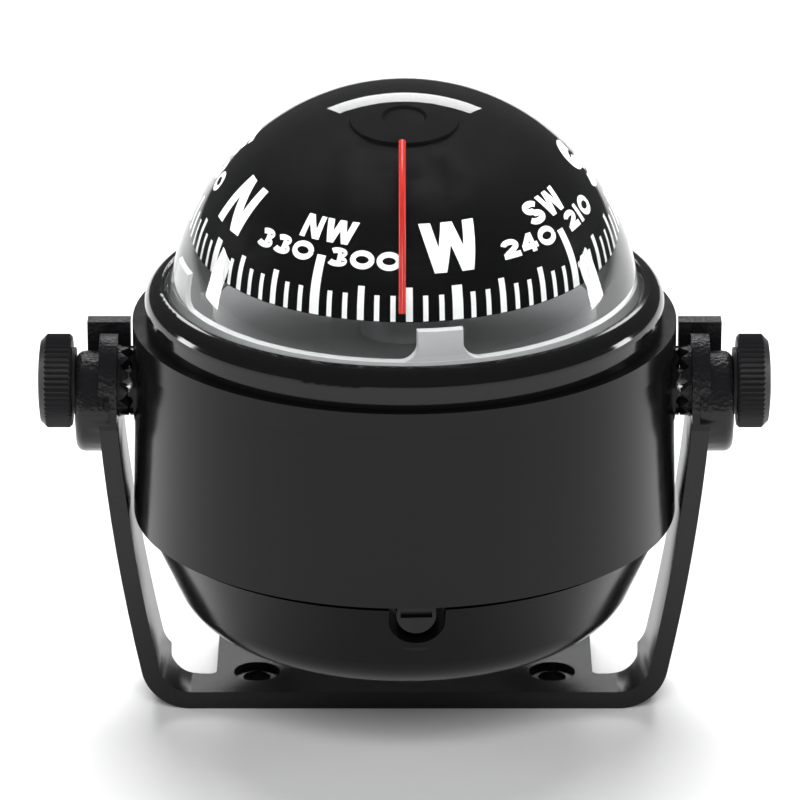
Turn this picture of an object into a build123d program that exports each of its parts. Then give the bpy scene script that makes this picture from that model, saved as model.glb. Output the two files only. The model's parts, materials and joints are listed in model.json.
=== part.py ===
from build123d import *
import os
from math import acos, cos, pi, radians, sin, sqrt, tan

os.makedirs("parts", exist_ok=True)

# Bracket-mounted marine ball compass. Millimetres, +Z up, the front of the compass faces -Y.
# Origin: centre of the base's underside, straight below the middle of the tilt axis.
# The tilt axis runs along X through both ears of the bracket.

# ---------------------------------------------------------------- driving dimensions
pivot_z = 50.0          # height of the tilt axis above the base's underside
dome_rise = 10.8        # centre of the dome's sphere above the tilt axis
dome_r = 35.0           # outside of the clear dome
dome_wall = 2.0
card_r = 25.1           # outside of the card's skirt
card_crown = 16.5       # height of the card's elliptical crown above its skirt
wall_r = 40.0           # housing wall just under the flange
wall_foot_r = 40.6      # housing wall at its lower edge
flange_r = 40.35        # band round the top of the housing
bezel_r = 38.5
arm_t = 2.7             # thickness of the bracket's arms and base
arm_half_w = 7.8        # half the arms' width along Y
stud_r = 2.4            # M5 thumb screw
knob_r = 7.0
tooth_count = 12        # detent teeth on each face, one every 30 degrees

# Planes: the section plane XZ with its origin on the tilt axis, and the same at the dome's centre.
axis_origin = (0, 0, pivot_z)
dome_origin = (0, 0, pivot_z + dome_rise)
axis_plane = Plane(origin=axis_origin, x_dir=(1, 0, 0), z_dir=(0, -1, 0))
dome_plane = Plane(origin=dome_origin, x_dir=(1, 0, 0), z_dir=(0, -1, 0))


def side_plane(x):
    """Plane across the tilt axis at x: local x runs along Y and local y along Z."""
    return Plane(origin=(x, 0, pivot_z), x_dir=(0, 1, 0), z_dir=(1, 0, 0))


def ring_spots(radius, count, start):
    """Evenly spaced points on a circle, the first one at the start angle in degrees."""
    return [
        (radius * cos(radians(start + 360 * i / count)), radius * sin(radians(start + 360 * i / count)))
        for i in range(count)
    ]


# ---------------------------------------------------------------- detent teeth
# A ring of radial teeth on a face across X. The ring's root is at x = 0 and its tips point to +X.
tooth_out_r = 5.2
tooth_in_r = 3.1
tooth_sink = 0.3        # how far a tooth's foot reaches below the root face


def tooth_ring(height):
    """Ring of triangular teeth with tips at x = height, on the X axis through the origin."""
    half_angle = pi / tooth_count
    with BuildPart() as tooth:
        for r in (tooth_in_r - 0.6, tooth_out_r + 0.6):
            half_w = r * tan(half_angle)
            with BuildSketch(Plane(origin=(0, 0, r), x_dir=(1, 0, 0), z_dir=(0, 0, 1))):
                with BuildLine():
                    Polyline(
                        (-tooth_sink, -half_w), (0, -half_w), (height, 0), (0, half_w), (-tooth_sink, half_w),
                        close=True,
                    )
                make_face()
        loft()
    with BuildPart() as ring:
        add([Rot(360 * i / tooth_count, 0, 0) * tooth.part for i in range(tooth_count)])
        with BuildSketch(Plane.YZ.offset(-tooth_sink)):
            Circle(tooth_out_r)
            Circle(tooth_in_r, mode=Mode.SUBTRACT)
        extrude(amount=tooth_sink + height, mode=Mode.INTERSECT)
    return ring.part


# ---------------------------------------------------------------- bracket
arm_top_x = 45.3        # outside of the arms beside the tilt axis
arm_mid = (43.1, -24.0)
arm_foot = (38.2, -pivot_z)
arm_straight_z = -4.0   # the arms stand upright above this level
corner_r = 7.5
ear_root_x = 42.25      # root face of the ear's teeth
ear_tip_x = 40.95
boss_x = 48.85          # outer face of the ear's boss
boss_r = 7.5
boss_at = (-0.3, -3.1)  # centre of the boss in Y and Z, from the tilt axis
ear_top_r = 7.0
stud_hole_r = 2.7
guard_x = (40.95, 47.4)  # rear guard of the ear, along X
guard_y = (4.9, 7.6)
guard_z = (-7.0, 7.45)
plate_half_w = 28.5     # base plate behind the front strap
plate_rear_y = 22.0
strap_rear_y = -0.8     # rear edge of the strap between the plate and each arm
notch_x = 35.6
screw_x = 22.4
screw_rows = (0.0, 15.0)
screw_r = 2.1
screw_head_r = 3.5
screw_head_depth = 0.9
tall = 15.0             # the arms are drawn this far above the tilt axis and then trimmed
ear_teeth = tooth_ring(ear_root_x - ear_tip_x)

with BuildPart() as bracket:
    with BuildSketch(axis_plane) as yoke:
        with BuildLine():
            Line((-arm_top_x, tall), (-arm_top_x, arm_straight_z))
            ThreePointArc((-arm_top_x, arm_straight_z), (-arm_mid[0], arm_mid[1]), (-arm_foot[0], arm_foot[1]))
            Line((-arm_foot[0], arm_foot[1]), arm_foot)
            ThreePointArc(arm_foot, arm_mid, (arm_top_x, arm_straight_z))
            Line((arm_top_x, arm_straight_z), (arm_top_x, tall))
            Line((arm_top_x, tall), (-arm_top_x, tall))
        make_face()
        fillet(yoke.vertices().group_by(Axis.Y)[0], radius=corner_r)
        offset(amount=-arm_t, mode=Mode.SUBTRACT)
    extrude(amount=arm_half_w, both=True)
    # The arms end in a round top seen from the side.
    with BuildSketch(side_plane(-60)) as arm_side:
        Circle(ear_top_r)
        with Locations((0, -5.5)):
            Rectangle(2 * arm_half_w, 1.0)
        make_hull()
        with Locations((0, -5.5)):
            Rectangle(2 * arm_half_w, 50.0, align=(Align.CENTER, Align.MAX))
    extrude(amount=120, mode=Mode.INTERSECT)
    # Base plate reaching back behind the arms.
    with BuildSketch(Plane.XY) as base_plate:
        with Locations((0, (plate_rear_y - arm_half_w) / 2)):
            Rectangle(2 * plate_half_w, plate_rear_y + arm_half_w)
        fillet(base_plate.vertices().group_by(Axis.Y)[-1], radius=5.0)
    extrude(amount=arm_t)
    # Notches between the plate and the arms, open to the rear.
    for side in (1, -1):
        with BuildSketch(Plane.XY.offset(-1)) as notch:
            with Locations((side * (plate_half_w + notch_x) / 2, (strap_rear_y + 12) / 2)):
                Rectangle(notch_x - plate_half_w, 12 - strap_rear_y)
            front_corners = notch.vertices().group_by(Axis.Y)[0].sort_by(Axis.X)
            fillet(front_corners[-1 if side > 0 else 0], radius=5.5)
            fillet(notch.vertices().group_by(Axis.Y)[0].sort_by(Axis.X)[0 if side > 0 else -1], radius=1.0)
        extrude(amount=6.5, mode=Mode.SUBTRACT)
    # Ears: boss outside, toothed ring inside, guard behind.
    for side in (1, -1):
        with BuildSketch(side_plane(side * (arm_top_x - 1.5))):
            with Locations(boss_at):
                Circle(boss_r)
        boss = extrude(amount=side * (boss_x - arm_top_x + 1.5))
        rim = boss.edges().filter_by(GeomType.CIRCLE).sort_by(Axis.X)[-1 if side > 0 else 0]
        fillet(bracket.edges().filter_by(GeomType.CIRCLE).sort_by_distance(rim.center())[0], radius=1.3)
        with BuildSketch(side_plane(side * ear_root_x)):
            Circle(tooth_out_r + 0.15)
        extrude(amount=side * 1.5)
        with Locations(((guard_x[0] + guard_x[1]) / 2 * side, sum(guard_y) / 2, pivot_z + sum(guard_z) / 2)):
            guard = Box(guard_x[1] - guard_x[0], guard_y[1] - guard_y[0], guard_z[1] - guard_z[0])
        inward = Rot(0, 0, 180) if side > 0 else Rot(0, 0, 0)
        add(Pos(side * ear_root_x, 0, pivot_z) * inward * ear_teeth)
        with BuildSketch(side_plane(side * 38)):
            Circle(stud_hole_r)
        extrude(amount=side * 14, mode=Mode.SUBTRACT)
    # Holes for the screws that hold the base down.
    with Locations(Plane.XY.offset(arm_t)):
        with Locations(*[(x, y) for x in (-screw_x, screw_x) for y in screw_rows]):
            CounterBoreHole(screw_r, screw_head_r, screw_head_depth, depth=arm_t)

bracket.part.label = "bracket"
export_step(bracket.part, "parts/bracket.step")

# ---------------------------------------------------------------- housing shell
# Heights below are measured from the tilt axis unless a name says otherwise.
foot_z = -19.6          # lower edge of the housing
band_z = 6.5            # lower edge of the top band
band_top_z = 10.3
bore_r = 38.0
shelf_z = 7.3
shelf_t = 2.0
shelf_r = 33.0
inner_r = 37.8
snap_z = 8.6
snap_depth = 0.3
post_ring_r = 27.0      # posts that take the cover screws
post_r = 3.2
post_z = (-17.5, -7.0)
cover_screw_count = 4
pad_x = 40.2            # root face of the housing's teeth
pad_tip_x = 40.85
insert_r = 3.5
insert_x = (33.0, 40.0)
pad_teeth = tooth_ring(pad_tip_x - pad_x)

with BuildPart() as housing_body:
    with BuildSketch(axis_plane):
        with BuildLine():
            Polyline(
                (inner_r, foot_z), (wall_foot_r, foot_z), (wall_r, band_z), (flange_r, band_z),
                (flange_r, band_top_z), (bore_r, band_top_z), (bore_r, snap_z + 0.5),
                (bore_r + snap_depth, snap_z + 0.2), (bore_r + snap_depth, snap_z - 0.2),
                (bore_r, snap_z - 0.5), (bore_r, shelf_z), (shelf_r, shelf_z), (shelf_r, shelf_z - shelf_t),
                (inner_r, shelf_z - shelf_t), close=True,
            )
        make_face()
    revolve(axis=Axis.Z)
    # Solid blocks behind the side faces, for the threaded inserts.
    for side in (1, -1):
        with BuildSketch(side_plane(side * insert_x[0])):
            Circle(insert_r + 2.5)
        extrude(amount=side * (pad_x - insert_x[0]))
        outward = Rot(0, 0, 0) if side > 0 else Rot(0, 0, 180)
        add(Pos(side * pad_x, 0, pivot_z) * outward * pad_teeth)
        with BuildSketch(side_plane(side * insert_x[0])):
            Circle(insert_r)
        extrude(amount=side * (insert_x[1] - insert_x[0]), mode=Mode.SUBTRACT)
        with BuildSketch(side_plane(side * insert_x[0])):
            Circle(stud_hole_r)
        extrude(amount=side * 9, mode=Mode.SUBTRACT)
    # Posts on ribs for the cover screws.
    for i in range(cover_screw_count):
        turn = 45 + 90 * i
        with BuildSketch(Plane.XY.offset(pivot_z + post_z[0])):
            with Locations(Rot(0, 0, turn) * Pos(post_ring_r, 0)):
                Circle(post_r)
        extrude(amount=post_z[1] - post_z[0])
        with BuildSketch(Plane.XY.offset(pivot_z - 14.0)):
            with Locations(Rot(0, 0, turn) * Pos((post_ring_r + 38.3) / 2, 0)):
                Rectangle(38.3 - post_ring_r, 2.4)
        extrude(amount=post_z[1] + 14.0)
        with BuildSketch(Plane.XY.offset(pivot_z + post_z[0])):
            with Locations(Rot(0, 0, turn) * Pos(post_ring_r, 0)):
                Circle(1.2)
        extrude(amount=8.0, mode=Mode.SUBTRACT)

housing_body.part.label = "housing_body"
export_step(housing_body.part, "parts/housing_body.step")

for side, name in ((-1, "left"), (1, "right")):
    with BuildPart() as thread_insert:
        with BuildSketch(side_plane(side * insert_x[0])):
            Circle(insert_r)
            Circle(stud_r + 0.05, mode=Mode.SUBTRACT)
        extrude(amount=side * (insert_x[1] - insert_x[0]))
        for groove_x in (35.0, 38.0):
            with BuildSketch(side_plane(side * groove_x)):
                Circle(insert_r)
                Circle(insert_r - 0.35, mode=Mode.SUBTRACT)
            extrude(amount=side * 0.8, mode=Mode.SUBTRACT)
    thread_insert.part.label = f"{name}_thread_insert"
    export_step(thread_insert.part, f"parts/{name}_thread_insert.step")

# ---------------------------------------------------------------- bottom cover
cover_top_r = 38.73
cover_top_z = -20.8
cover_gap_r = 38.0      # shadow gap under the housing's edge
cover_low = (31.8, -36.71)
cover_fillet = 9.25
cover_t = 2.2
floor_pad_r = 20.0
floor_pad_z = -33.7
spigot_r = (35.7, 37.75)
spigot_z = -15.0
clocking = 2.8          # the cover and its compensator sit turned by this many degrees
front_turn = clocking - 90
side_turn = clocking
pocket_r = 4.1          # half the width of the adjuster pockets
pocket_z = -22.9
pocket_floor = 31.8     # distance of the pockets' floor from the vertical axis
rod_r = 2.4             # compensator rods
rod_hole_r = 2.5
tube_r = 4.2            # tubes that the cover screws drop into
tube_hole_r = 2.9
tube_top_z = post_z[0]


def pocket_plane(turn, reach):
    """Plane across a compensator rod, facing outwards, at a distance from the vertical axis."""
    out = (cos(radians(turn)), sin(radians(turn)), 0)
    return Plane(
        origin=(out[0] * reach, out[1] * reach, pivot_z + pocket_z),
        x_dir=(-out[1], out[0], 0),
        z_dir=out,
    )



with BuildPart() as bottom_cover:
    with BuildSketch(axis_plane) as outer:
        with BuildLine():
            Polyline(
                (0, cover_low[1]), cover_low, (cover_top_r, cover_top_z), (cover_gap_r, cover_top_z),
                (cover_gap_r, foot_z), (0, foot_z), close=True,
            )
        make_face()
        fillet(outer.vertices().sort_by_distance(cover_low)[0], radius=cover_fillet)
    revolve(axis=Axis.Z)
    with BuildSketch(axis_plane) as hollow:
        with BuildLine():
            Polyline(
                (0, floor_pad_z), (floor_pad_r, floor_pad_z), (floor_pad_r, cover_low[1] + cover_t),
                (30.3, cover_low[1] + cover_t), (spigot_r[0], cover_top_z), (spigot_r[0], foot_z),
                (0, foot_z), close=True,
            )
        make_face()
        fillet(hollow.vertices().sort_by_distance((30.3, cover_low[1] + cover_t))[0], radius=7.0)
    revolve(axis=Axis.Z, mode=Mode.SUBTRACT)
    with BuildSketch(Plane.XY.offset(pivot_z + foot_z - 1.2)):
        Circle(spigot_r[1])
        Circle(spigot_r[0], mode=Mode.SUBTRACT)
    extrude(amount=spigot_z - foot_z + 1.2)
    for turn in (front_turn, side_turn):
        with BuildSketch(pocket_plane(turn, pocket_floor - 1.8)):
            Circle(pocket_r + 1.4)
        extrude(amount=5.6)
        with BuildSketch(pocket_plane(turn, pocket_floor)):
            Circle(pocket_r)
            with Locations((0, 0)):
                Rectangle(2 * pocket_r, foot_z - pocket_z, align=(Align.CENTER, Align.MIN))
        extrude(amount=10, mode=Mode.SUBTRACT)
        with BuildSketch(pocket_plane(turn, pocket_floor - 3)):
            Circle(rod_hole_r)
        extrude(amount=5, mode=Mode.SUBTRACT)
    for i in range(cover_screw_count):
        spot = Rot(0, 0, 45 + 90 * i) * Pos(post_ring_r, 0)
        with BuildSketch(Plane.XY.offset(pivot_z - 33.5)):
            with Locations(spot):
                Circle(tube_r - 0.3)
        extrude(amount=tube_top_z + 33.5)
        with BuildSketch(Plane.XY.offset(pivot_z - 40)):
            with Locations(spot):
                Circle(tube_hole_r)
        extrude(amount=40 + tube_top_z - 2.0, mode=Mode.SUBTRACT)
        with BuildSketch(Plane.XY.offset(pivot_z - 22)):
            with Locations(spot):
                Circle(1.6)
        extrude(amount=6, mode=Mode.SUBTRACT)
    with Locations(*[(x, y, pivot_z + floor_pad_z) for x, y in ring_spots(15.0, 2, 135)]):
        Hole(1.0, depth=2.0)

bottom_cover.part.label = "bottom_cover"
export_step(bottom_cover.part, "parts/bottom_cover.step")

with BuildPart() as cover_screws:
    for i in range(cover_screw_count):
        spot = Rot(0, 0, 45 + 90 * i) * Pos(post_ring_r, 0)
        with BuildSketch(Plane.XY.offset(pivot_z + tube_top_z - 3.8)):
            with Locations(spot):
                Circle(2.6)
        extrude(amount=1.8)
        with BuildSketch(Plane.XY.offset(pivot_z + tube_top_z - 2.0)):
            with Locations(spot):
                Circle(1.2)
        extrude(amount=9.0)
        with BuildSketch(Plane.XY.offset(pivot_z + tube_top_z - 3.8)):
            with Locations(spot):
                Rectangle(3.4, 0.7)
                Rectangle(0.7, 3.4)
        extrude(amount=0.9, mode=Mode.SUBTRACT)

cover_screws.part.label = "cover_screws"
export_step(cover_screws.part, "parts/cover_screws.step")

with BuildPart() as cover_seal:
    with BuildSketch(axis_plane):
        with BuildLine():
            Polyline(
                (36.0, spigot_z), (inner_r, spigot_z), (inner_r, spigot_z + 0.9), (36.0, spigot_z + 0.9), close=True,
            )
        make_face()
    revolve(axis=Axis.Z)

cover_seal.part.label = "cover_seal"
export_step(cover_seal.part, "parts/cover_seal.step")

# ---------------------------------------------------------------- fluid chamber
chamber_flange_z = (shelf_z, 9.1)
gasket_top_z = 10.3
dome_flange_z = 12.3
clamp_r = 37.0          # outside of the clamped flanges
chamber_r = 31.0        # inside of the chamber base's neck
diaphragm_hole_r = 9.0
chamber_screw_r = 35.2
chamber_screw_count = 8

with BuildPart() as chamber_base:
    with BuildSketch(axis_plane):
        with BuildLine():
            Polyline(
                (chamber_r, chamber_flange_z[1]), (clamp_r, chamber_flange_z[1]), (clamp_r, shelf_z),
                (32.8, shelf_z), (32.8, 2.0), (26.0, -6.0), (15.5, -6.0), (15.5, -8.0),
                (diaphragm_hole_r, -8.0), (diaphragm_hole_r, -4.2), (25.2, -4.2), (chamber_r, 2.6), close=True,
            )
        make_face()
    revolve(axis=Axis.Z)
    with Locations(*[(x, y, pivot_z + chamber_flange_z[1]) for x, y in ring_spots(chamber_screw_r, chamber_screw_count, 22.5)]):
        Hole(0.9, depth=5.0)
    with Locations(*[(x, y, pivot_z - 4.2) for x, y in ring_spots(20.0, 1, 60)]):
        Hole(2.5, depth=5.0)
    with Locations(*[Location((x, y, pivot_z - 8.0), (180, 0, 0)) for x, y in ring_spots(13.8, 4, 0)]):
        Hole(0.8, depth=2.6)

chamber_base.part.label = "chamber_base"
export_step(chamber_base.part, "parts/chamber_base.step")

with BuildPart() as dome_gasket:
    with BuildSketch(Plane.XY.offset(pivot_z + chamber_flange_z[1])):
        Circle(clamp_r)
        Circle(dome_r - dome_wall, mode=Mode.SUBTRACT)
        with Locations(*ring_spots(chamber_screw_r, chamber_screw_count, 22.5)):
            Circle(0.9, mode=Mode.SUBTRACT)
    extrude(amount=gasket_top_z - chamber_flange_z[1])

dome_gasket.part.label = "dome_gasket"
export_step(dome_gasket.part, "parts/dome_gasket.step")

dome_in_r = dome_r - dome_wall
flange_low = gasket_top_z - dome_rise     # underside of the dome's flange from the dome's centre
flange_high = dome_flange_z - dome_rise
neck_r = sqrt(dome_r**2 - flange_high**2)

with BuildPart() as dome:
    with BuildSketch(dome_plane):
        with BuildLine():
            Line((0, dome_in_r), (0, dome_r))
            ThreePointArc((0, dome_r), (dome_r * sin(pi / 4), dome_r * cos(pi / 4)), (neck_r, flange_high))
            Polyline((neck_r, flange_high), (clamp_r, flange_high), (clamp_r, flange_low), (dome_in_r, flange_low))
            Line((dome_in_r, flange_low), (dome_in_r, 0))
            ThreePointArc((dome_in_r, 0), (dome_in_r * sin(pi / 4), dome_in_r * cos(pi / 4)), (0, dome_in_r))
        make_face()
    revolve(axis=Axis.Z)
    with Locations(*[Location((x, y, pivot_z + gasket_top_z), (180, 0, 0)) for x, y in ring_spots(chamber_screw_r, chamber_screw_count, 22.5)]):
        Hole(0.8, depth=1.4)

dome.part.label = "dome"
export_step(dome.part, "parts/dome.step")

with BuildPart() as chamber_screws:
    for x, y in ring_spots(chamber_screw_r, chamber_screw_count, 22.5):
        with BuildSketch(Plane.XY.offset(pivot_z + shelf_z)):
            with Locations((x, y)):
                Circle(0.8)
        extrude(amount=gasket_top_z - shelf_z + 1.3)

chamber_screws.part.label = "chamber_screws"
export_step(chamber_screws.part, "parts/chamber_screws.step")

bezel_top_z = 15.9
bezel_lip_z = 15.35
bezel_bore_r = 35.03
skirt_r = 37.92

with BuildPart() as bezel_ring:
    with BuildSketch(axis_plane):
        with BuildLine():
            Polyline(
                (bezel_bore_r, bezel_lip_z), (bezel_bore_r, dome_flange_z + 0.05), (clamp_r + 0.08, dome_flange_z + 0.05),
                (clamp_r + 0.08, shelf_z + 0.2), (skirt_r, shelf_z + 0.2), (skirt_r, snap_z - 0.4),
                (skirt_r + 0.25, snap_z), (skirt_r, snap_z + 0.4), (skirt_r, band_top_z), (bezel_r, band_top_z),
                (bezel_r, 13.2),
            )
            RadiusArc((bezel_r, 13.2), (36.0, bezel_top_z), -2.75)
            ThreePointArc((36.0, bezel_top_z), (35.4, 15.75), (bezel_bore_r, bezel_lip_z))
        make_face()
    revolve(axis=Axis.Z)

bezel_ring.part.label = "bezel_ring"
export_step(bezel_ring.part, "parts/bezel_ring.step")

# ---------------------------------------------------------------- inner frame, pivot and lubber line
frame_r = (29.6, 31.3)
frame_rim_z = dome_rise + 4.2
tab_top_z = dome_rise + 8.6
tab_half_w = 3.2
tab_flare = 2.4         # radius where a tab meets the rim
tab_turns = (-80.6, 9.4, 99.4, 189.4)
post_foot_z = -3.0
post_step_z = 1.4
post_top_z = dome_rise - 3.0
pin_r = 0.6
pin_foot_z = 3.8
pin_tip_z = dome_rise - 0.04

with BuildPart() as frame_tab:
    with BuildSketch(side_plane(frame_r[0] - 3)) as tab_side:
        with Locations((0, frame_rim_z - 0.5)):
            Rectangle(6 * tab_half_w, 0.5, align=(Align.CENTER, Align.MIN))
        with Locations((0, frame_rim_z)):
            Rectangle(2 * tab_half_w, tab_top_z - frame_rim_z, align=(Align.CENTER, Align.MIN))
        roots = tab_side.vertices().filter_by_position(Axis.X, -tab_half_w - 0.1, tab_half_w + 0.1)
        fillet(roots.group_by(Axis.Y)[0], radius=tab_flare)
    extrude(amount=6)
    with BuildSketch(Plane.XY.offset(pivot_z + frame_rim_z - 0.5)):
        Circle(frame_r[1] - 0.15)
        Circle(frame_r[0], mode=Mode.SUBTRACT)
    extrude(amount=tab_top_z - frame_rim_z + 0.5, mode=Mode.INTERSECT)

with BuildPart() as inner_frame:
    with BuildSketch(axis_plane):
        with BuildLine():
            Polyline(
                (frame_r[0], frame_rim_z), (frame_r[1], frame_rim_z), (frame_r[1], chamber_flange_z[1] + 1.4),
                (32.7, chamber_flange_z[1] + 1.4), (32.7, chamber_flange_z[1]), (30.85, chamber_flange_z[1]),
                (30.85, 4.2), (23.5, post_foot_z), (2.4, post_foot_z), (2.4, -0.5), (4.0, -0.5), (4.0, -1.8),
                (23.0, -1.8), (frame_r[0], 4.7), close=True,
            )
        make_face()
    revolve(axis=Axis.Z)
    for turn in tab_turns:
        add(Rot(0, 0, turn) * frame_tab.part)
    for turn in range(0, 360, 60):
        with BuildSketch(Plane.XY.offset(pivot_z + post_foot_z - 1)):
            with Locations(Rot(0, 0, turn + 30) * Pos(14.0, 0)):
                SlotOverall(10.0, 5.0)
        extrude(amount=4, mode=Mode.SUBTRACT)

inner_frame.part.label = "inner_frame"
export_step(inner_frame.part, "parts/inner_frame.step")

with BuildPart() as pivot_post:
    with BuildSketch(axis_plane):
        with BuildLine():
            Polyline(
                (0, post_foot_z), (2.4, post_foot_z), (2.4, post_step_z), (1.6, post_step_z + 0.8),
                (1.6, post_top_z), (pin_r, post_top_z), (pin_r, pin_foot_z), (0, pin_foot_z), close=True,
            )
        make_face()
    revolve(axis=Axis.Z)

pivot_post.part.label = "pivot_post"
export_step(pivot_post.part, "parts/pivot_post.step")

with BuildPart() as pivot_pin:
    with BuildSketch(axis_plane):
        with BuildLine():
            Polyline(
                (0, pin_foot_z), (pin_r, pin_foot_z), (pin_r, pin_tip_z - 1.8), (0.12, pin_tip_z), (0, pin_tip_z),
                close=True,
            )
        make_face()
    revolve(axis=Axis.Z)

pivot_pin.part.label = "pivot_pin"
export_step(pivot_pin.part, "parts/pivot_pin.step")

lubber_r = 29.8         # distance of the lubber line from the dome's centre
lubber_rod_r = 0.5
lubber_polar = (18.7, 70.0)
hanger_r = (lubber_r - lubber_rod_r, lubber_r + lubber_rod_r)
hanger_polar = (-4.0, 22.0)
lubber_plane = Plane(origin=(-0.3, 0, pivot_z + dome_rise), x_dir=(0, -1, 0), z_dir=(-1, 0, 0))


def polar_point(radius, degrees):
    """Point in the lubber line's plane: degrees down from the dome's pole, towards the front."""
    return (radius * sin(radians(degrees)), radius * cos(radians(degrees)))


with BuildPart() as lubber_line:
    with BuildLine(lubber_plane) as lubber_path:
        ThreePointArc(
            polar_point(lubber_r, lubber_polar[0]),
            polar_point(lubber_r, sum(lubber_polar) / 2),
            polar_point(lubber_r, lubber_polar[1]),
        )
    with BuildSketch(Plane(origin=lubber_path.line @ 0, z_dir=lubber_path.line % 0)):
        Circle(lubber_rod_r)
    sweep()

lubber_line.part.label = "lubber_line"
export_step(lubber_line.part, "parts/lubber_line.step")

with BuildPart() as lubber_hanger:
    with BuildSketch(lubber_plane):
        with BuildLine():
            ThreePointArc(
                polar_point(hanger_r[1], lubber_polar[0]),
                polar_point(hanger_r[1], sum(hanger_polar) / 2),
                polar_point(hanger_r[1], hanger_polar[0]),
            )
            Line(polar_point(hanger_r[1], hanger_polar[0]), polar_point(hanger_r[0], hanger_polar[0]))
            ThreePointArc(
                polar_point(hanger_r[0], hanger_polar[0]),
                polar_point(hanger_r[0], 2.0),
                polar_point(hanger_r[0], lubber_polar[0]),
            )
            Line(polar_point(hanger_r[0], lubber_polar[0]), polar_point(hanger_r[1], lubber_polar[0]))
        make_face()
        with BuildLine():
            Line(polar_point(hanger_r[1] - 0.1, hanger_polar[0]), polar_point(dome_in_r, hanger_polar[0]))
            ThreePointArc(
                polar_point(dome_in_r, hanger_polar[0]),
                polar_point(dome_in_r, 0.0),
                polar_point(dome_in_r, lubber_polar[0] - 4),
            )
            Line(
                polar_point(dome_in_r, lubber_polar[0] - 4),
                polar_point(hanger_r[1] - 0.1, lubber_polar[0] - 4),
            )
            ThreePointArc(
                polar_point(hanger_r[1] - 0.1, lubber_polar[0] - 4),
                polar_point(hanger_r[1] - 0.1, 0.0),
                polar_point(hanger_r[1] - 0.1, hanger_polar[0]),
            )
        make_face()
    extrude(amount=1.2, both=True)
    with Locations(dome_origin):
        Sphere(dome_in_r, mode=Mode.INTERSECT)

lubber_hanger.part.label = "lubber_hanger"
export_step(lubber_hanger.part, "parts/lubber_hanger.step")

# ---------------------------------------------------------------- card assembly, turning on the jewel
# Heights in this section are measured from the dome's centre, where the pin's tip meets the jewel.
card_t = 0.6
skirt_z = (7.9, 9.5)    # the card's skirt; the crown starts at its top
cap_hole_r = 6.0
cap_r = 6.9
cap_rim_t = 0.45
dimple_r = (2.8, 2.5)
stem_r = 4.5
cup_r = 2.4
stem_bore_r = cup_r + 0.05
stem_low = -1.9
stem_top = 12.0
plate_z = (8.1, 8.7)
carrier_r = 19.5
carrier_low = -3.3
magnet_low = -5.8
ballast_r = (6.6, 11.4)
ballast_low = -8.6


def crown_z(r, lift=0.0):
    """Height of the card's crown at a distance from the axis; lift moves it out (+) or in (-)."""
    return skirt_z[1] + (card_crown + lift) * sqrt(1 - (r / (card_r + lift)) ** 2)


def crown_points(lift=0.0):
    """Points up the crown's ellipse, from the top of the skirt to the cap's hole."""
    end = acos(cap_hole_r / (card_r + lift))
    return [
        ((card_r + lift) * cos(end * i / 12), skirt_z[1] + (card_crown + lift) * sin(end * i / 12)) for i in range(13)
    ]


with BuildPart() as card:
    with BuildSketch(dome_plane):
        with BuildLine():
            Polyline(
                (card_r, skirt_z[1]), (card_r, skirt_z[0]), (card_r - card_t, skirt_z[0]), (card_r - card_t, skirt_z[1]),
            )
            inside = Spline(*crown_points(-card_t))
            outside = Spline(*crown_points())
            Line(inside @ 1, outside @ 1)
        make_face()
    revolve(axis=Axis.Z)

card.part.label = "card"
export_step(card.part, "parts/card.step")

with BuildPart() as card_cap:
    with BuildSketch(dome_plane):
        with BuildLine():
            cap_low = crown_z(cap_hole_r, -card_t)
            seat_z = crown_z(cap_hole_r) + 0.02
            rim_z = seat_z + cap_rim_t
            Polyline(
                (0, cap_low), (cap_hole_r - 0.02, cap_low), (cap_hole_r - 0.02, seat_z), (cap_r, seat_z),
                (cap_r, rim_z), (dimple_r[0], rim_z + 0.2), (dimple_r[1], rim_z - 0.4), (0, rim_z - 0.4), close=True,
            )
        make_face()
    revolve(axis=Axis.Z)

card_cap.part.label = "card_cap"
export_step(card_cap.part, "parts/card_cap.step")

with BuildPart() as card_float:
    with BuildSketch(dome_plane):
        with BuildLine():
            Polyline(
                (stem_bore_r, stem_low), (stem_r, stem_low), (stem_r, plate_z[0]),
                (card_r - card_t - 0.05, plate_z[0]), (card_r - card_t - 0.05, plate_z[1]),
                (stem_r, plate_z[1]), (stem_r, stem_top), (0, stem_top), (0, stem_top - 1.2),
                (stem_bore_r, stem_top - 1.2), close=True,
            )
        make_face()
    revolve(axis=Axis.Z)

card_float.part.label = "card_float"
export_step(card_float.part, "parts/card_float.step")

jewel_r = 1.3           # the jewel's outside is a ball about the pin's tip
jewel_low = -0.6
seat_r = jewel_r + 0.03
seat_low = -0.75
cup_low = -1.1

with BuildPart() as jewel_cup:
    with BuildSketch(dome_plane):
        with BuildLine():
            mouth = (sqrt(seat_r**2 - seat_low**2), seat_low)
            Polyline(mouth, (2.1, cup_low), (cup_r, cup_low), (cup_r, 3.4), (0, 3.4), (0, seat_r))
            ThreePointArc((0, seat_r), (seat_r * sin(pi / 4), seat_r * cos(pi / 4)), mouth)
        make_face()
    revolve(axis=Axis.Z)

jewel_cup.part.label = "jewel_cup"
export_step(jewel_cup.part, "parts/jewel_cup.step")

with BuildPart() as pivot_jewel:
    with BuildSketch(dome_plane):
        with BuildLine():
            rim = (sqrt(jewel_r**2 - jewel_low**2), jewel_low)
            Polyline((0, jewel_r), (0, 0.08), (0.12, 0.08), (0.95, jewel_low), rim)
            ThreePointArc(rim, (jewel_r * sin(pi / 3), jewel_r * cos(pi / 3)), (0, jewel_r))
        make_face()
    revolve(axis=Axis.Z)

pivot_jewel.part.label = "pivot_jewel"
export_step(pivot_jewel.part, "parts/pivot_jewel.step")

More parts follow.
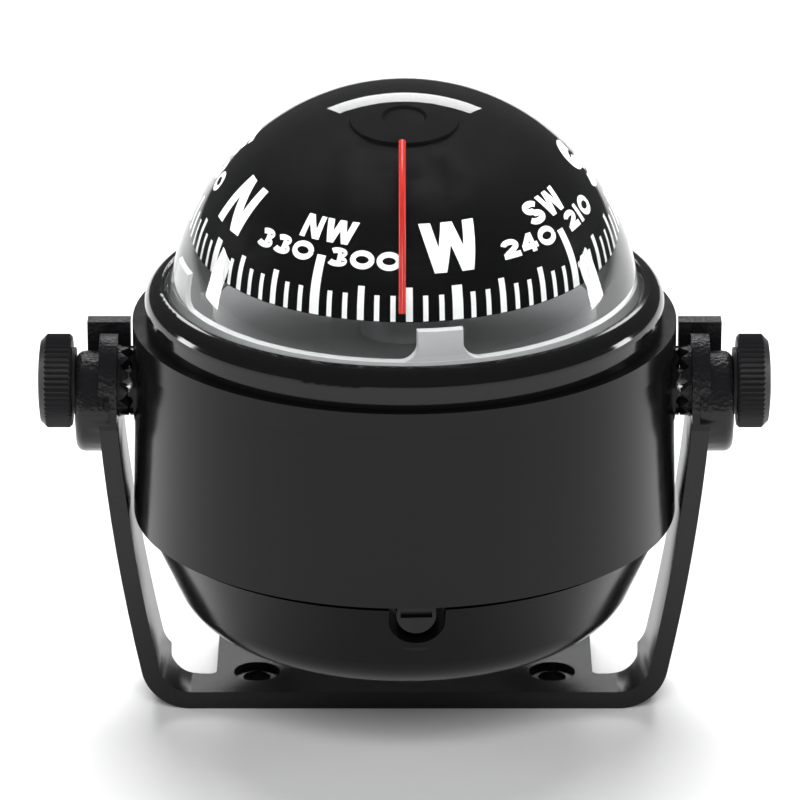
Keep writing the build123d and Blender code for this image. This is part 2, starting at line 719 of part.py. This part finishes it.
with BuildPart() as magnet_carrier:
    with BuildSketch(Plane.XY.offset(pivot_z + dome_rise + carrier_low)):
        Circle(carrier_r)
        Circle(3.4, mode=Mode.SUBTRACT)
    extrude(amount=stem_low - carrier_low)

magnet_carrier.part.label = "magnet_carrier"
export_step(magnet_carrier.part, "parts/magnet_carrier.step")

with BuildPart() as card_magnets:
    with BuildSketch(Plane.XY.offset(pivot_z + dome_rise + magnet_low)):
        with Locations((0, 14.2), (0, -14.2)):
            Rectangle(16.0, 2.6)
    extrude(amount=carrier_low - magnet_low)

card_magnets.part.label = "card_magnets"
export_step(card_magnets.part, "parts/card_magnets.step")

with BuildPart() as ballast_ring:
    with BuildSketch(Plane.XY.offset(pivot_z + dome_rise + ballast_low)):
        Circle(ballast_r[1])
        Circle(ballast_r[0], mode=Mode.SUBTRACT)
    extrude(amount=carrier_low - ballast_low)

ballast_ring.part.label = "ballast_ring"
export_step(ballast_ring.part, "parts/ballast_ring.step")

# ---------------------------------------------------------------- diaphragm and filler
with BuildPart() as diaphragm:
    with BuildSketch(axis_plane):
        with BuildLine():
            Polyline(
                (0, -6.6), (5.5, -6.6), (7.2, -8.0), (12.4, -8.0), (12.4, -8.9), (6.9, -8.9), (5.2, -7.4), (0, -7.4),
                close=True,
            )
        make_face()
    revolve(axis=Axis.Z)

diaphragm.part.label = "diaphragm"
export_step(diaphragm.part, "parts/diaphragm.step")

with BuildPart() as diaphragm_retainer:
    with BuildSketch(axis_plane):
        with BuildLine():
            Polyline((8.2, -8.9), (12.5, -8.9), (12.5, -8.0), (15.5, -8.0), (15.5, -10.6), (8.2, -10.6), close=True)
        make_face()
    revolve(axis=Axis.Z)
    with Locations(*[(x, y, pivot_z - 8.0) for x, y in ring_spots(13.8, 4, 0)]):
        Hole(0.9, depth=3.0)

diaphragm_retainer.part.label = "diaphragm_retainer"
export_step(diaphragm_retainer.part, "parts/diaphragm_retainer.step")

with BuildPart() as retainer_screws:
    for x, y in ring_spots(13.8, 4, 0):
        with BuildSketch(Plane.XY.offset(pivot_z - 11.8)):
            with Locations((x, y)):
                Circle(1.6)
        extrude(amount=1.2)
        with BuildSketch(Plane.XY.offset(pivot_z - 10.6)):
            with Locations((x, y)):
                Circle(0.8)
        extrude(amount=5.0)

retainer_screws.part.label = "retainer_screws"
export_step(retainer_screws.part, "parts/retainer_screws.step")

filler_x, filler_y = ring_spots(20.0, 1, 60)[0]
with BuildPart() as filler_plug:
    with BuildSketch(Plane.XY.offset(pivot_z - 8.6)):
        with Locations((filler_x, filler_y)):
            Circle(3.9)
    extrude(amount=1.7)
    with BuildSketch(Plane.XY.offset(pivot_z - 6.9)):
        with Locations((filler_x, filler_y)):
            Circle(2.45)
    extrude(amount=2.6)
    with BuildSketch(Plane.XY.offset(pivot_z - 8.6)):
        with Locations((filler_x, filler_y)):
            Rectangle(5.4, 0.9)
    extrude(amount=0.8, mode=Mode.SUBTRACT)

filler_plug.part.label = "filler_plug"
export_step(filler_plug.part, "parts/filler_plug.step")

with BuildPart() as filler_seal:
    with BuildSketch(Plane.XY.offset(pivot_z - 6.9)):
        with Locations((filler_x, filler_y)):
            Circle(3.6)
            Circle(2.5, mode=Mode.SUBTRACT)
    extrude(amount=0.9)

filler_seal.part.label = "filler_seal"
export_step(filler_seal.part, "parts/filler_seal.step")

# ---------------------------------------------------------------- compensator
block_r = 19.5
block_t = 2.0
bearing_reach = (9.0, 21.0)   # the rods' two bearings, from the vertical axis
bearing_t = 3.0
rod_end = 6.5
head_r = 2.9
head_reach = (32.3, 35.2)

with BuildPart() as compensator_block:
    with BuildSketch(Plane.XY.offset(pivot_z + floor_pad_z)):
        Circle(block_r)
    extrude(amount=block_t)
    for turn in (front_turn, side_turn):
        for reach in bearing_reach:
            with BuildSketch(pocket_plane(turn, reach - bearing_t)):
                Rectangle(9.0, pocket_z - floor_pad_z, align=(Align.CENTER, Align.MAX))
                Circle(4.5)
                Circle(rod_hole_r, mode=Mode.SUBTRACT)
            extrude(amount=bearing_t)
    with Locations(*[(x, y, pivot_z + floor_pad_z + block_t) for x, y in ring_spots(15.0, 2, 135)]):
        Hole(1.1, depth=block_t)

compensator_block.part.label = "compensator_block"
export_step(compensator_block.part, "parts/compensator_block.step")

with BuildPart() as compensator_screws:
    for x, y in ring_spots(15.0, 2, 135):
        with BuildSketch(Plane.XY.offset(pivot_z + floor_pad_z + block_t)):
            with Locations((x, y)):
                Circle(2.1)
        extrude(amount=1.4)
        with BuildSketch(Plane.XY.offset(pivot_z + floor_pad_z - 1.9)):
            with Locations((x, y)):
                Circle(1.0)
        extrude(amount=1.9 + block_t)

compensator_screws.part.label = "compensator_screws"
export_step(compensator_screws.part, "parts/compensator_screws.step")

for turn, name in ((front_turn, "front"), (side_turn, "side")):
    with BuildPart() as adjuster:
        with BuildSketch(pocket_plane(turn, rod_end)):
            Circle(rod_r)
        extrude(amount=head_reach[0] - rod_end)
        with BuildSketch(pocket_plane(turn, head_reach[0])):
            Circle(head_r)
        extrude(amount=head_reach[1] - head_reach[0])
        with BuildSketch(pocket_plane(turn, head_reach[1] - 1.0)):
            Rectangle(4.6, 0.9)
        extrude(amount=1.0, mode=Mode.SUBTRACT)
        for reach in (12.0, 15.0):
            with BuildSketch(Plane.XY.offset(pivot_z + pocket_z - rod_r)):
                with Locations(Rot(0, 0, turn) * Pos(reach, 0)):
                    Circle(0.9)
            extrude(amount=2 * rod_r, mode=Mode.SUBTRACT)
    adjuster.part.label = f"{name}_adjuster"
    export_step(adjuster.part, f"parts/{name}_adjuster.step")

    with BuildPart() as adjuster_magnets:
        with BuildSketch(Plane.XY.offset(pivot_z + pocket_z - 2.1)):
            with Locations(*[Rot(0, 0, turn) * Pos(reach, 0) for reach in (12.0, 15.0)]):
                Circle(0.9)
        extrude(amount=4.2)
    adjuster_magnets.part.label = f"{name}_adjuster_magnets"
    export_step(adjuster_magnets.part, f"parts/{name}_adjuster_magnets.step")

# ---------------------------------------------------------------- thumb knobs
washer_x = (48.9, 49.4)
washer_r = 5.0
knob_x = (49.45, 54.6)
knob_edge_r = 1.0
knob_crown = 0.45       # how far the outer face bulges
ridge_count = 52
ridge_depth = 0.32
screw_tip_x = 34.5
screw_head_x = 53.0

for side, name in ((-1, "left"), (1, "right")):
    with BuildPart() as washer:
        with BuildSketch(side_plane(side * washer_x[0])):
            Circle(washer_r)
            Circle(stud_r + 0.08, mode=Mode.SUBTRACT)
        extrude(amount=side * (washer_x[1] - washer_x[0]))
    washer.part.label = f"{name}_washer"
    export_step(washer.part, f"parts/{name}_washer.step")

    with BuildPart() as knob_head:
        with BuildSketch(side_plane(side * knob_x[0])):
            with BuildLine():
                Polyline(
                    [
                        (
                            (knob_r - ridge_depth * (i % 2)) * cos(pi * i / ridge_count),
                            (knob_r - ridge_depth * (i % 2)) * sin(pi * i / ridge_count),
                        )
                        for i in range(2 * ridge_count)
                    ],
                    close=True,
                )
            make_face()
        extrude(amount=side * (knob_x[1] - knob_x[0]))
        # Turned blank: rounded outer edge, slightly crowned face, bore for the screw.
        with BuildSketch(axis_plane) as blank:
            with BuildLine():
                edge_x = knob_x[1] - knob_crown
                Polyline(
                    (side * knob_x[0], 0), (side * knob_x[0], knob_r - 0.4), (side * (knob_x[0] + 0.4), knob_r),
                    (side * (edge_x - knob_edge_r), knob_r), (side * edge_x, knob_r - knob_edge_r),
                )
                ThreePointArc(
                    (side * edge_x, knob_r - knob_edge_r),
                    (side * (knob_x[1] - 0.11), (knob_r - knob_edge_r) / 2),
                    (side * knob_x[1], 0),
                )
                Line((side * knob_x[1], 0), (side * knob_x[0], 0))
            make_face()
        revolve(axis=Axis(axis_origin, (1, 0, 0)), mode=Mode.INTERSECT)
        with BuildSketch(side_plane(side * knob_x[0])):
            Circle(stud_r)
        extrude(amount=side * (screw_head_x - knob_x[0]), mode=Mode.SUBTRACT)
    knob_head.part.label = f"{name}_knob_head"
    export_step(knob_head.part, f"parts/{name}_knob_head.step")

    with BuildPart() as knob_screw:
        with BuildSketch(axis_plane):
            with BuildLine():
                Polyline(
                    (side * screw_tip_x, 0), (side * screw_tip_x, stud_r - 0.6), (side * (screw_tip_x + 0.6), stud_r),
                    (side * screw_head_x, stud_r), (side * screw_head_x, 0), close=True,
                )
            make_face()
        revolve(axis=Axis(axis_origin, (1, 0, 0)))
    knob_screw.part.label = f"{name}_knob_screw"
    export_step(knob_screw.part, f"parts/{name}_knob_screw.step")
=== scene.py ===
import json
from math import cos, pi, radians, sin, sqrt

import bmesh
import bpy
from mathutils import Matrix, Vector


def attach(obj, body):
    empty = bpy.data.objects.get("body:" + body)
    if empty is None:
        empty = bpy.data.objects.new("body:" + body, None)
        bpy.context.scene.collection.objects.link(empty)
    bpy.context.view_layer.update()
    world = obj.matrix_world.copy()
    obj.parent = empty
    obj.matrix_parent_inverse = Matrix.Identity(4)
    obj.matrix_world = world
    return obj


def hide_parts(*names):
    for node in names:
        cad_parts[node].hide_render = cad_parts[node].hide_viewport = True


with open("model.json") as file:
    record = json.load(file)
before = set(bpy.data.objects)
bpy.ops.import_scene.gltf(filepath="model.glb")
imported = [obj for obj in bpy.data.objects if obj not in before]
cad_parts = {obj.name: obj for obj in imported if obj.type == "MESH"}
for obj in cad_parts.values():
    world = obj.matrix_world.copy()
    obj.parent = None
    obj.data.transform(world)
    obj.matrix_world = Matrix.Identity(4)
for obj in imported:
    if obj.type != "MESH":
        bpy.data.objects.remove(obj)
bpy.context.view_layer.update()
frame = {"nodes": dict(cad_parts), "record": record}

MM = 0.001
PIVOT = Vector((0, 0, 0.050))
DOME_C = Vector((0, 0, 0.0608))
DOME_R = 35.0
CARD_R = 25.1  # outside of the card's skirt
CARD_CROWN = 16.5
SKIRT = (7.9, 9.5)  # heights above the dome's centre
HEADING = 286.5  # heading shown at the lubber line's side of the card


# ---------------------------------------------------------------- materials
def new_material(name):
    mat = bpy.data.materials.new(name)
    mat.use_nodes = True
    nodes = mat.node_tree.nodes
    return mat, nodes, mat.node_tree.links, nodes["Principled BSDF"]


def grain(nodes, links, scale, detail=3.0, stretch=(1, 1, 1)):
    """Noise in real units: scale is in features per metre."""
    coords = nodes.new("ShaderNodeTexCoord")
    mapping = nodes.new("ShaderNodeMapping")
    mapping.inputs["Scale"].default_value = stretch
    noise = nodes.new("ShaderNodeTexNoise")
    noise.inputs["Scale"].default_value = scale
    noise.inputs["Detail"].default_value = detail
    links.new(coords.outputs["Object"], mapping.inputs["Vector"])
    links.new(mapping.outputs["Vector"], noise.inputs["Vector"])
    return noise


def add_bump(nodes, links, shader, height, distance, strength=1.0):
    bump = nodes.new("ShaderNodeBump")
    bump.inputs["Distance"].default_value = distance
    bump.inputs["Strength"].default_value = strength
    links.new(height, bump.inputs["Height"])
    links.new(bump.outputs["Normal"], shader.inputs["Normal"])
    return bump


def rough_range(nodes, links, shader, noise, low, high):
    ramp = nodes.new("ShaderNodeMapRange")
    ramp.inputs["From Min"].default_value = 0.3
    ramp.inputs["From Max"].default_value = 0.7
    ramp.inputs["To Min"].default_value = low
    ramp.inputs["To Max"].default_value = high
    links.new(noise.outputs["Fac"], ramp.inputs["Value"])
    links.new(ramp.outputs["Result"], shader.inputs["Roughness"])


def plastic(name, color, rough, scale=9000.0, depth=0.000004, metallic=0.0, gloss=0.5):
    mat, nodes, links, shader = new_material(name)
    shader.inputs["Base Color"].default_value = (*color, 1)
    shader.inputs["Metallic"].default_value = metallic
    shader.inputs["Specular IOR Level"].default_value = gloss
    wear = grain(nodes, links, 260.0, 4.0)
    rough_range(nodes, links, shader, wear, rough * 0.85, rough * 1.2)
    fine = grain(nodes, links, scale)
    add_bump(nodes, links, shader, fine.outputs["Fac"], depth)
    return mat


def bracket_material():
    """Black plastic, with a coarse spark-eroded texture above the parting line of the ears."""
    mat, nodes, links, shader = new_material("bracket_black")
    shader.inputs["Base Color"].default_value = (0.008, 0.008, 0.009, 1)
    shader.inputs["Specular IOR Level"].default_value = 0.3
    coords = nodes.new("ShaderNodeTexCoord")
    split = nodes.new("ShaderNodeSeparateXYZ")
    links.new(coords.outputs["Object"], split.inputs["Vector"])
    mask = nodes.new("ShaderNodeMapRange")
    mask.inputs["From Min"].default_value = 0.0476
    mask.inputs["From Max"].default_value = 0.0482
    links.new(split.outputs["Z"], mask.inputs["Value"])
    pits = nodes.new("ShaderNodeTexVoronoi")
    pits.inputs["Scale"].default_value = 1500.0
    links.new(coords.outputs["Object"], pits.inputs["Vector"])
    coarse = grain(nodes, links, 2400.0, 2.0)
    mix = nodes.new("ShaderNodeMath")
    mix.operation = "MULTIPLY"
    links.new(pits.outputs["Distance"], mix.inputs[0])
    links.new(coarse.outputs["Fac"], mix.inputs[1])
    masked = nodes.new("ShaderNodeMath")
    masked.operation = "MULTIPLY"
    links.new(mix.outputs["Value"], masked.inputs[0])
    links.new(mask.outputs["Result"], masked.inputs[1])
    fine = grain(nodes, links, 7000.0)
    soft = nodes.new("ShaderNodeMath")
    soft.operation = "MULTIPLY"
    soft.inputs[1].default_value = 0.03
    links.new(fine.outputs["Fac"], soft.inputs[0])
    total = nodes.new("ShaderNodeMath")
    total.operation = "ADD"
    links.new(masked.outputs["Value"], total.inputs[0])
    links.new(soft.outputs["Value"], total.inputs[1])
    add_bump(nodes, links, shader, total.outputs["Value"], 0.00022)
    rough = nodes.new("ShaderNodeMapRange")
    rough.inputs["To Min"].default_value = 0.27
    rough.inputs["To Max"].default_value = 0.36
    links.new(mask.outputs["Result"], rough.inputs["Value"])
    links.new(rough.outputs["Result"], shader.inputs["Roughness"])
    return mat


def clear_material():
    """Clear plastic and fluid together: bends camera rays, lets light through to the card."""
    mat, nodes, links, shader = new_material("clear_dome")
    shader.inputs["Base Color"].default_value = (0.985, 0.99, 0.99, 1)
    shader.inputs["Transmission Weight"].default_value = 1.0
    shader.inputs["Roughness"].default_value = 0.0
    shader.inputs["IOR"].default_value = 1.45
    paths = nodes.new("ShaderNodeLightPath")
    clear = nodes.new("ShaderNodeBsdfTransparent")
    clear.inputs["Color"].default_value = (0.96, 0.97, 0.97, 1)
    mix = nodes.new("ShaderNodeMixShader")
    out = nodes["Material Output"]
    links.new(paths.outputs["Is Shadow Ray"], mix.inputs["Fac"])
    links.new(shader.outputs["BSDF"], mix.inputs[1])
    links.new(clear.outputs["BSDF"], mix.inputs[2])
    links.new(mix.outputs["Shader"], out.inputs["Surface"])
    return mat


MAT = {
    "bracket_plastic": bracket_material(),
    "housing_plastic": plastic(
        "housing_black", (0.004, 0.004, 0.0045), 0.17, depth=0.000001, gloss=0.18
    ),
    "bezel_gloss": plastic("bezel_black", (0.006, 0.006, 0.006), 0.10, depth=0.0000006, gloss=0.3),
    "knob_plastic": plastic("knob_black", (0.012, 0.012, 0.013), 0.45, 6000.0, 0.00001, gloss=0.3),
    "clear_dome": clear_material(),
    "card_black": plastic("card_black", (0.0015, 0.0015, 0.0017), 0.5, depth=0.000001, gloss=0.05),
    "float_grey": plastic("float_grey", (0.30, 0.31, 0.31), 0.5),
    # The white frame is coloured mid-grey: painted shade of the card that lies over it, not the
    # frame's own white.
    "frame_white": plastic("frame_white", (0.40, 0.41, 0.41), 0.45),
    "chamber_plastic": plastic("chamber_grey", (0.10, 0.10, 0.105), 0.5),
    "lubber_red": plastic("lubber_red", (0.42, 0.018, 0.012), 0.2),
    "seal_rubber": plastic("seal_rubber", (0.02, 0.02, 0.02), 0.7, 3000.0, 0.00001),
    "jewel": plastic("jewel", (0.35, 0.02, 0.06), 0.1),
    "brass": plastic("brass", (0.72, 0.52, 0.24), 0.28, metallic=1.0),
    "steel": plastic("steel", (0.60, 0.60, 0.61), 0.25, metallic=1.0),
    "print_white": plastic("print_white", (0.86, 0.87, 0.86), 0.5),
}

for entry in frame["record"]["subparts"]:
    node = frame["nodes"][entry["node"]]
    node.data.materials.clear()
    node.data.materials.append(MAT[entry["material_slot"]])


def soften(name, width, angle=40):
    """Small rounded edges on a CAD node, from modifiers alone."""
    node = frame["nodes"][name]
    weld = node.modifiers.new("weld", "WELD")
    weld.merge_threshold = 0.000002
    bevel = node.modifiers.new("bevel", "BEVEL")
    bevel.width = width
    bevel.segments = 3
    bevel.limit_method = "ANGLE"
    bevel.angle_limit = radians(angle)
    bevel.harden_normals = True


# ---------------------------------------------------------------- mesh helpers
def make_object(name, bm, material, smooth_angle=35):
    mesh = bpy.data.meshes.new(name)
    bm.normal_update()
    bm.to_mesh(mesh)
    bm.free()
    mesh.materials.append(material)
    mesh.shade_smooth()
    mesh.set_sharp_from_angle(angle=radians(smooth_angle))
    obj = bpy.data.objects.new(name, mesh)
    bpy.context.scene.collection.objects.link(obj)
    return obj


def arc_points(center, radius, start, end, count):
    """Points on an arc in the (r, z) half-plane; angles in degrees from the +r direction."""
    return [
        (
            center[0] + radius * cos(radians(start + (end - start) * i / count)),
            center[1] + radius * sin(radians(start + (end - start) * i / count)),
        )
        for i in range(count + 1)
    ]


def revolve(name, profile, material, origin=PIVOT, segments=192, smooth_angle=35):
    """Surface of revolution about Z through origin. The profile is (r, z) in millimetres."""
    bm = bmesh.new()
    rings = []
    for r, z in profile:
        if r < 1e-6:
            rings.append([bm.verts.new(origin + Vector((0, 0, z * MM)))])
            continue
        ring = []
        for i in range(segments):
            a = 2 * pi * i / segments
            ring.append(bm.verts.new(origin + Vector((r * cos(a), r * sin(a), z)) * MM))
        rings.append(ring)
    for low, high in zip(rings, rings[1:]):
        for i in range(segments):
            j = (i + 1) % segments
            if len(low) == 1:
                bm.faces.new((low[0], high[i], high[j]))
            elif len(high) == 1:
                bm.faces.new((low[i], high[0], low[j]))
            else:
                bm.faces.new((low[i], high[i], high[j], low[j]))
    bmesh.ops.recalc_face_normals(bm, faces=bm.faces)
    return make_object(name, bm, material, smooth_angle)


# ---------------------------------------------------------------- clear dome with its fluid
flange_rise = 1.5
lens = arc_points((0, 0), DOME_R, 90, 2.4563, 64)
lens[0] = (0, DOME_R)
lens += [(37.0, flange_rise), (37.0, -0.5), (32.0, -0.5)]
lens += [(32.0, -8.6), (26.1, -15.9), (8.0, -15.9), (0, -15.9)]
dome = revolve("dome_and_fluid", lens, MAT["clear_dome"], DOME_C, 256, smooth_angle=20)
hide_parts("dome", "lubber_hanger")
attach(dome, "housing")

# ---------------------------------------------------------------- printing on the card
PRINT_LIFT = 0.03


def card_profile(count=160):
    """(distance along the surface, r, z) up the card's skirt and elliptical crown."""
    rows = [(0.0, CARD_R, SKIRT[0])]
    for i in range(count + 1):
        angle = 0.5 * pi * i / count
        r, z = CARD_R * cos(angle), SKIRT[1] + CARD_CROWN * sin(angle)
        rows.append((rows[-1][0] + sqrt((r - rows[-1][1]) ** 2 + (z - rows[-1][2]) ** 2), r, z))
    return rows


PROFILE = card_profile()


def at_height(z):
    """Distance along the card's surface at height z."""
    for (s0, r0, z0), (s1, r1, z1) in zip(PROFILE, PROFILE[1:]):
        if z1 >= z:
            return s0 + (s1 - s0) * (z - z0) / (z1 - z0)
    return PROFILE[-1][0]


def surface(s):
    """(r, z) of the printing a little outside the card, at a distance along its surface."""
    for (s0, r0, z0), (s1, r1, z1) in zip(PROFILE, PROFILE[1:]):
        if s1 >= s:
            k = (s - s0) / (s1 - s0)
            out = Vector((z1 - z0, r0 - r1)).normalized() * PRINT_LIFT
            return r0 + (r1 - r0) * k + out.x, z0 + (z1 - z0) * k + out.y
    return PROFILE[-1][1:]


def on_card(azimuth, s):
    """Point on the card: azimuth in degrees from the front towards +X."""
    a = radians(azimuth)
    r, z = surface(s)
    return DOME_C + Vector((r * sin(a), -r * cos(a), z)) * MM


def azimuth_of(heading):
    return -(heading - HEADING)


class Print:
    """Collects flat marks on the card, laid out in millimetres about a centre on its surface."""

    def __init__(self):
        self.bm = bmesh.new()

    def quad(self, corners, azimuth, middle):
        """corners are (u, v): u along the card to the reader's right, v up towards the pole."""
        verts = []
        spread = surface(middle)[0]
        for u, v in corners:
            verts.append(self.bm.verts.new(on_card(azimuth + u / spread * 180 / pi, middle + v)))
        self.bm.faces.new(verts)

    def bar(self, top, bottom, azimuth, middle, steps=12):
        """Bar with level ends. top and bottom are (left, right, height)."""
        for i in range(steps):
            row = []
            for k in (i / steps, (i + 1) / steps):
                row.append([bottom[n] + (top[n] - bottom[n]) * k for n in range(3)])
            a, b = row
            self.quad([(a[0], a[2]), (a[1], a[2]), (b[1], b[2]), (b[0], b[2])], azimuth, middle)

    def stroke(self, points, width, azimuth, middle):
        """Line of constant width through the points."""
        pts = [Vector(p) for p in points]
        sides = []
        for i, p in enumerate(pts):
            before = (p - pts[i - 1]).normalized() if i else (pts[1] - p).normalized()
            after = (pts[i + 1] - p).normalized() if i + 1 < len(pts) else before
            normal = Vector((-(before + after).y, (before + after).x)).normalized()
            stretch = 1 / max(0.5, normal.dot(Vector((-after.y, after.x))))
            sides.append((p + normal * width / 2 * stretch, p - normal * width / 2 * stretch))
        for (a, b), (c, d) in zip(sides, sides[1:]):
            self.quad([tuple(b), tuple(d), tuple(c), tuple(a)], azimuth, middle)


def ellipse(cx, cy, rx, ry, start, end, count=28):
    """Points on an ellipse, anticlockwise from start to end in degrees."""
    angles = [radians(start + (end - start) * i / count) for i in range(count + 1)]
    return [(cx + rx * cos(angle), cy + ry * sin(angle)) for angle in angles]


def line(a, b, count=8):
    """Points on a straight line from a to b."""
    return [
        (a[0] + (b[0] - a[0]) * i / count, a[1] + (b[1] - a[1]) * i / count)
        for i in range(count + 1)
    ]


# Digits, one stroke wide, in a box of unit height before they are stretched sideways.
DIGIT_STROKE = 0.30
DIGIT_STRETCH = 1.38
H = DIGIT_STROKE / 2
DIGITS = {
    "0": (1.02, [ellipse(0.51, 0.5, 0.36, 0.5 - H, 0, 360, 40)]),
    "1": (0.42, [line((0.21, 0), (0.21, 1))]),
    "2": (
        0.88,
        [
            ellipse(0.42, 0.66, 0.29, 0.34 - H, 175, -40, 20)
            + line((0.56, 0.46), (0.18, 0.20), 6)[1:],
            line((0.06, H), (0.82, H)),
        ],
    ),
    "3": (
        0.86,
        [
            ellipse(0.40, 0.73, 0.25, 0.27 - H, 160, -90, 20),
            ellipse(0.40, 0.29, 0.29, 0.29 - H, 90, -160, 20),
        ],
    ),
    "4": (
        0.90,
        [
            line((0.58, 0), (0.58, 1)),
            line((0.54, 0.92), (0.14, 0.34)),
            line((0.06, 0.32), (0.82, 0.32)),
        ],
    ),
    "5": (
        0.86,
        [
            line((0.74, 1 - H), (0.16, 1 - H)),
            line((0.20, 1.0), (0.16, 0.52)),
            ellipse(0.38, 0.32, 0.29, 0.32 - H, 120, -150, 20),
        ],
    ),
    "6": (
        0.90,
        [
            ellipse(0.44, 0.32, 0.29, 0.32 - H, 0, 360, 32),
            ellipse(0.62, 0.34, 0.47, 0.62, 105, 180, 12),
        ],
    ),
}


def draw_number(ink, text, azimuth, low, high):
    """Digits centred on an azimuth, between two heights."""
    low, high = at_height(low), at_height(high)
    height, middle = high - low, (high + low) / 2
    step = height * DIGIT_STRETCH
    x = -sum(DIGITS[c][0] for c in text) * step / 2
    for c in text:
        advance, strokes = DIGITS[c]
        for points in strokes:
            placed = [(x + u * step, (v - 0.5) * height) for u, v in points]
            ink.stroke(placed, DIGIT_STROKE * height, azimuth, middle)
        x += advance * step


# Capital letters in a unit box, as bars (top left, top right, bottom left, bottom right)
# or as strokes of one width.
LETTER_STROKE = 0.26
BARS = {
    "N": [(0.0, 0.27, 0.0, 0.27), (0.0, 0.33, 0.67, 1.0), (0.73, 1.0, 0.73, 1.0)],
    "W": [
        (0.0, 0.21, 0.20, 0.38),
        (0.395, 0.60, 0.20, 0.38),
        (0.395, 0.60, 0.61, 0.79),
        (0.79, 1.0, 0.61, 0.79),
    ],
}
STROKES = {
    "E": [
        line((0.15, 0), (0.15, 1)),
        line((0, 0.87), (0.98, 0.87)),
        line((0, 0.5), (0.9, 0.5)),
        line((0, 0.13), (1.0, 0.13)),
    ],
    "S": [
        ellipse(0.5, 0.71, 0.35, 0.165, 15, 265, 20)
        + ellipse(0.5, 0.29, 0.37, 0.165, 85, -165, 20)
    ],
}
WIDE = {"N": 0.90, "W": 1.21, "E": 0.78, "S": 0.86}
WIDER = {"N": 0.86, "W": 1.42, "E": 0.82, "S": 0.95}


def draw_letters(ink, text, azimuth, low, high, widths, gap=0.07):
    """Capital letters centred on an azimuth, between two heights."""
    low, high = at_height(low), at_height(high)
    height, middle = high - low, (high + low) / 2
    x = -(sum(widths[c] for c in text) + gap * (len(text) - 1)) * height / 2
    for c in text:
        step = widths[c] * height
        for tl, tr, bl, br in BARS.get(c, ()):
            top = (x + tl * step, x + tr * step, height / 2)
            bottom = (x + bl * step, x + br * step, -height / 2)
            ink.bar(top, bottom, azimuth, middle, 14)
        for points in STROKES.get(c, ()):
            placed = [(x + u * step, (v - 0.5) * height) for u, v in points]
            ink.stroke(placed, LETTER_STROKE * height, azimuth, middle)
        x += step + gap * height


ink = Print()
TICK_FOOT = 8.0
for heading in range(0, 360, 5):
    if heading % 90 == 0:
        head, width = 12.7, 1.45
    elif heading % 45 == 0:
        head, width = 15.8, 1.35
    elif heading % 15 == 0:
        head, width = 12.7, 0.92
    else:
        head, width = 11.6, 0.70
    low, high = at_height(TICK_FOOT), at_height(head)
    half = (high - low) / 2
    top, bottom = (-width / 2, width / 2, half), (-width / 2, width / 2, -half)
    ink.bar(top, bottom, azimuth_of(heading), (low + high) / 2, 16)
for heading in (30, 60, 120, 150, 210, 240, 300, 330):
    draw_number(ink, str(heading), azimuth_of(heading), 14.75, 16.95)
for heading, name in ((0, "N"), (90, "E"), (180, "S"), (270, "W")):
    draw_letters(ink, name, azimuth_of(heading), 14.37, 19.85, WIDE)
for heading, name in ((45, "NE"), (135, "SE"), (225, "SW"), (315, "NW")):
    draw_letters(ink, name, azimuth_of(heading), 17.35, 19.75, WIDER)
bmesh.ops.recalc_face_normals(ink.bm, faces=ink.bm.faces)
scale_print = make_object("card_print", ink.bm, MAT["print_white"])
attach(scale_print, "card")

# ---------------------------------------------------------------- floor, light and camera
floor_mat = plastic("floor_pale", (0.90, 0.90, 0.90), 0.85, 400.0, 0.00002)
bm = bmesh.new()
half = 3.0
corners = [bm.verts.new((x * half, y * half, 0)) for x, y in ((-1, -1), (1, -1), (1, 1), (-1, 1))]
bm.faces.new(corners)
floor = make_object("floor", bm, floor_mat)


def soft_light(name, place, target, size, power, size_y=None, color=(1, 1, 1)):
    data = bpy.data.lights.new(name, "AREA")
    data.shape = "RECTANGLE"
    data.size = size
    data.size_y = size_y or size
    data.energy = power
    data.color = color
    obj = bpy.data.objects.new(name, data)
    bpy.context.scene.collection.objects.link(obj)
    obj.location = place
    obj.rotation_euler = (Vector(target) - Vector(place)).to_track_quat("-Z", "Y").to_euler()
    return obj


# The two broad lights give no highlights: they are hidden from glossy rays.
for name, place, size, power in (
    ("top_light", (0.0, 0.9, 1.4), 1.3, 46.0),
    ("front_light", (0.0, -1.2, 1.0), 0.9, 17.0),
):
    light = soft_light(name, place, (0, 0, 0.03), size, power)
    light.visible_glossy = False
soft_light("left_softbox", (-1.0, 0.30, 0.14), (0, 0, 0.06), 0.20, 3.2, 0.30)
soft_light("right_softbox", (1.0, 0.30, 0.14), (0, 0, 0.06), 0.20, 3.2, 0.30)
soft_light("back_softbox", (0.0, 1.4, 0.9), (0, 0, 0.06), 0.9, 6.0, 0.3)

world = bpy.data.worlds.new("studio")
world.use_nodes = True
world.node_tree.nodes["Background"].inputs["Color"].default_value = (0.97, 0.98, 1.0, 1)
world.node_tree.nodes["Background"].inputs["Strength"].default_value = 0.10
bpy.context.scene.world = world
bpy.context.scene.view_settings.view_transform = "Standard"

ELEVATION = radians(21)
DISTANCE = 0.900
DISTANCE_MM = 900
SENSOR = 36.0
FRAME_WIDTH = 800
SCALE = 6.71  # frame units per millimetre at the pivot
camera_data = bpy.data.cameras.new("camera")
camera_data.sensor_width = SENSOR
camera_data.lens = SCALE * DISTANCE_MM / FRAME_WIDTH * SENSOR
camera_data.shift_x = -0.0056
camera_data.shift_y = -0.0244
camera = bpy.data.objects.new("camera", camera_data)
bpy.context.scene.collection.objects.link(camera)
camera.location = PIVOT + Vector((0, -DISTANCE * cos(ELEVATION), DISTANCE * sin(ELEVATION)))
camera.rotation_euler = (PIVOT - camera.location).to_track_quat("-Z", "Y").to_euler()
bpy.context.scene.camera = camera

soften("bracket", 0.00025)
